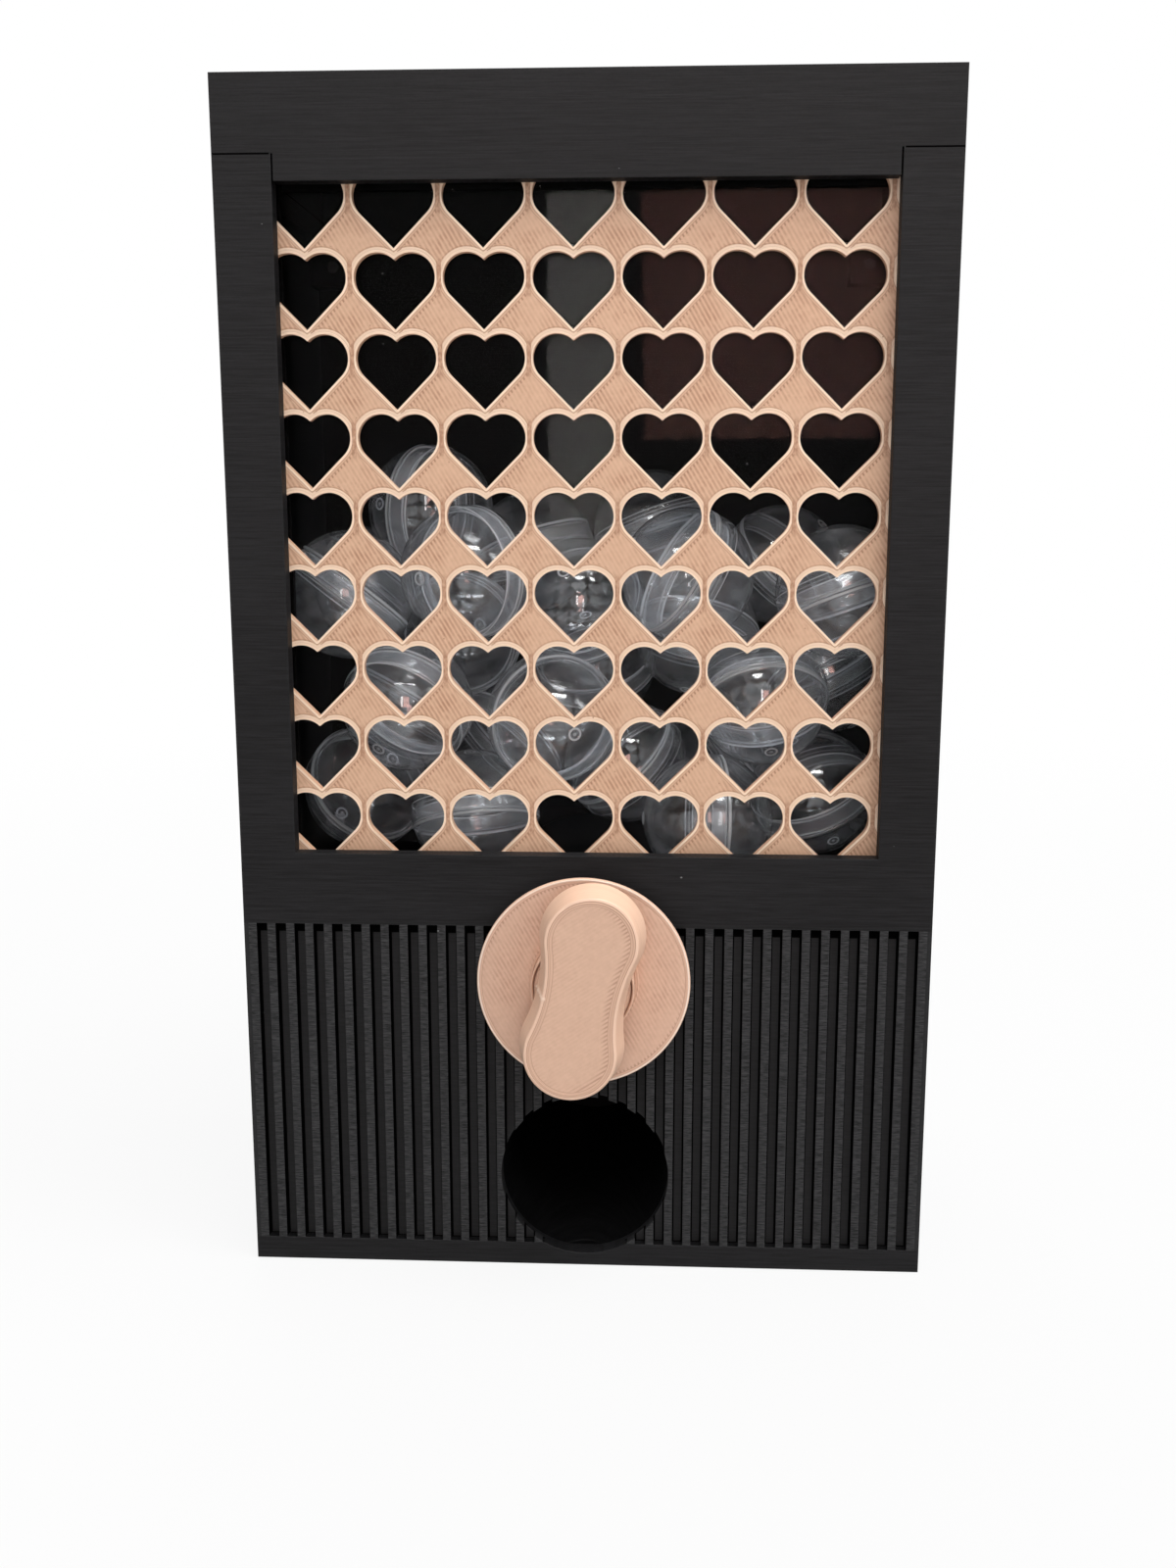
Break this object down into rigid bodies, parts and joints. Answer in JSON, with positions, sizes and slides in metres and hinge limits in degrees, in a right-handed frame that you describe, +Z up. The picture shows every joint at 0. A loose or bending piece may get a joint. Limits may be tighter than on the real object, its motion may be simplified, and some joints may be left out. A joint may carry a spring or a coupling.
{
  "type": "capsule vending machine",
  "caption": "Table-top capsule vending machine: black box cabinet with lift-off lid, heart grille over a clear pane, fluted lower panel, turning knob and round outlet.",
  "frame": {"origin": "centre of the cabinet's base, on the surface that it stands on", "axes": "+X to the viewer's right, +Y from the front to the back, +Z up"},
  "size_m": [0.16, 0.108, 0.2714],
  "materials": {
    "black_print": "matte black printed plastic with fine layer lines",
    "rose_print": "rose gold printed plastic, soft sheen, with print lines",
    "clear_sheet": "clear glossy sheet",
    "clear_capsule": "clear thin moulded plastic",
    "steel": "plain steel",
    "brass": "turned brass"
  },
  "bodies": {
    "cabinet": {"cabinet_shell": "black_print", "rear_cover": "black_print", "rear_cover_screws": "steel", "heart_grille": "rose_print", "window_pane": "clear_sheet", "hopper_floor": "black_print", "hopper_screws": "steel", "rotor_housing": "black_print", "housing_screws": "steel", "housing_end_plate": "black_print", "end_plate_screws": "steel", "front_bush": "brass", "rear_bush": "brass", "outlet_chute": "black_print", "chute_screws": "steel", "capsule_caps": "clear_capsule", "capsule_bowls": "clear_capsule"},
    "rotor": {"knob_disc": "rose_print", "knob_grip": "rose_print", "drive_shaft": "steel", "rotor_screw": "steel", "thrust_washer": "steel", "dispensing_rotor": "black_print"},
    "lid": {"lid": "black_print"}
  },
  "joints": [
    {"name": "knob_turn", "type": "hinge", "parent": "cabinet", "child": "rotor", "pos_m": [0, 0, 0.0728], "axis": [0, 1, 0], "continuous": true},
    {"name": "lid_lift", "type": "slide", "parent": "cabinet", "child": "lid", "axis": [0, 0, 1], "range_m": [0, 0.05]}
  ]
}
